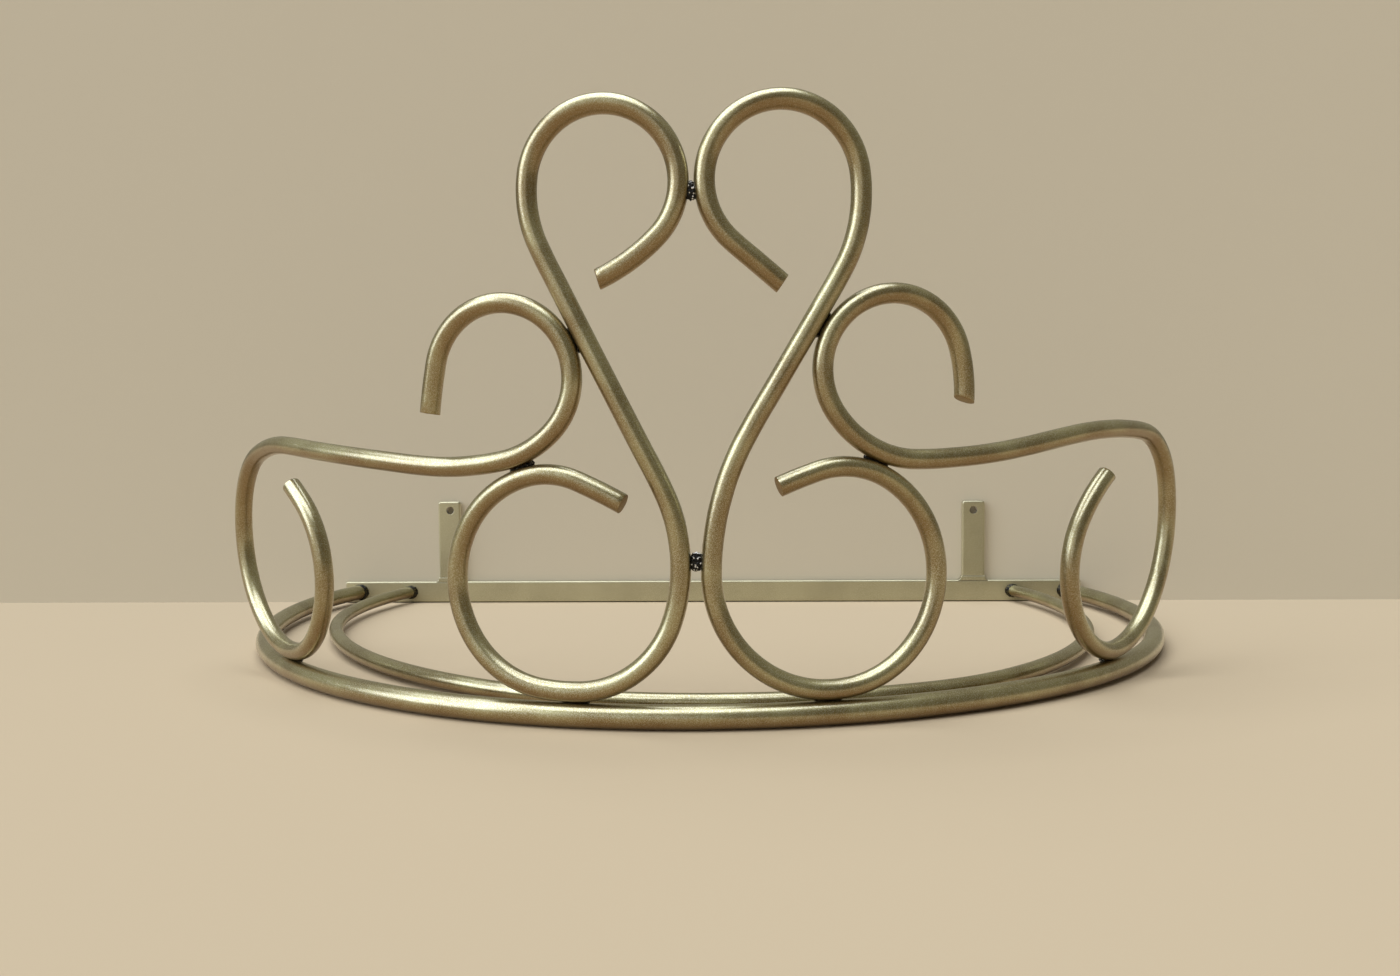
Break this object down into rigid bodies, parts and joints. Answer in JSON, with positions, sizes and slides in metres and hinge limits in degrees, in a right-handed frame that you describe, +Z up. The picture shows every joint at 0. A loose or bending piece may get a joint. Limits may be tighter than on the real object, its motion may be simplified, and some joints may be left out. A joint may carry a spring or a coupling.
{
  "type": "bed crown canopy",
  "caption": "Half-round bed crown: concentric rings of round bar on a flat wall bar, with tall scrolls in front, flowing side scrolls and drilled hanging tabs.",
  "frame": {"origin": "on the flat wall bar's back face, halfway up the bar and midway between the two hanging tabs", "axes": "+X to the right as seen from the room, +Y into the wall, +Z up"},
  "size_m": [0.6775, 0.4231, 0.3224],
  "materials": {
    "gold_paint": "satin metallic gold paint on bent steel bar",
    "weld_metal": "dark, thinly painted weld metal"
  },
  "bodies": {
    "root": {"back_bar": "gold_paint", "tab_left": "gold_paint", "tab_right": "gold_paint", "outer_ring": "gold_paint", "inner_ring": "gold_paint", "tall_scroll_left": "gold_paint", "tall_scroll_right": "gold_paint", "side_scroll_left": "gold_paint", "side_scroll_right": "gold_paint", "weld_tab_left": "weld_metal", "weld_tab_right": "weld_metal", "weld_outer_ring_left": "weld_metal", "weld_outer_ring_right": "weld_metal", "weld_inner_ring_left": "weld_metal", "weld_inner_ring_right": "weld_metal", "weld_tall_foot_left": "weld_metal", "weld_tall_foot_right": "weld_metal", "weld_side_foot_left": "weld_metal", "weld_side_foot_right": "weld_metal", "weld_tall_scrolls_upper": "weld_metal", "weld_tall_scrolls_lower": "weld_metal", "weld_side_left_upper": "weld_metal", "weld_side_left_lower": "weld_metal", "weld_side_right_upper": "weld_metal", "weld_side_right_lower": "weld_metal"}
  },
  "joints": []
}
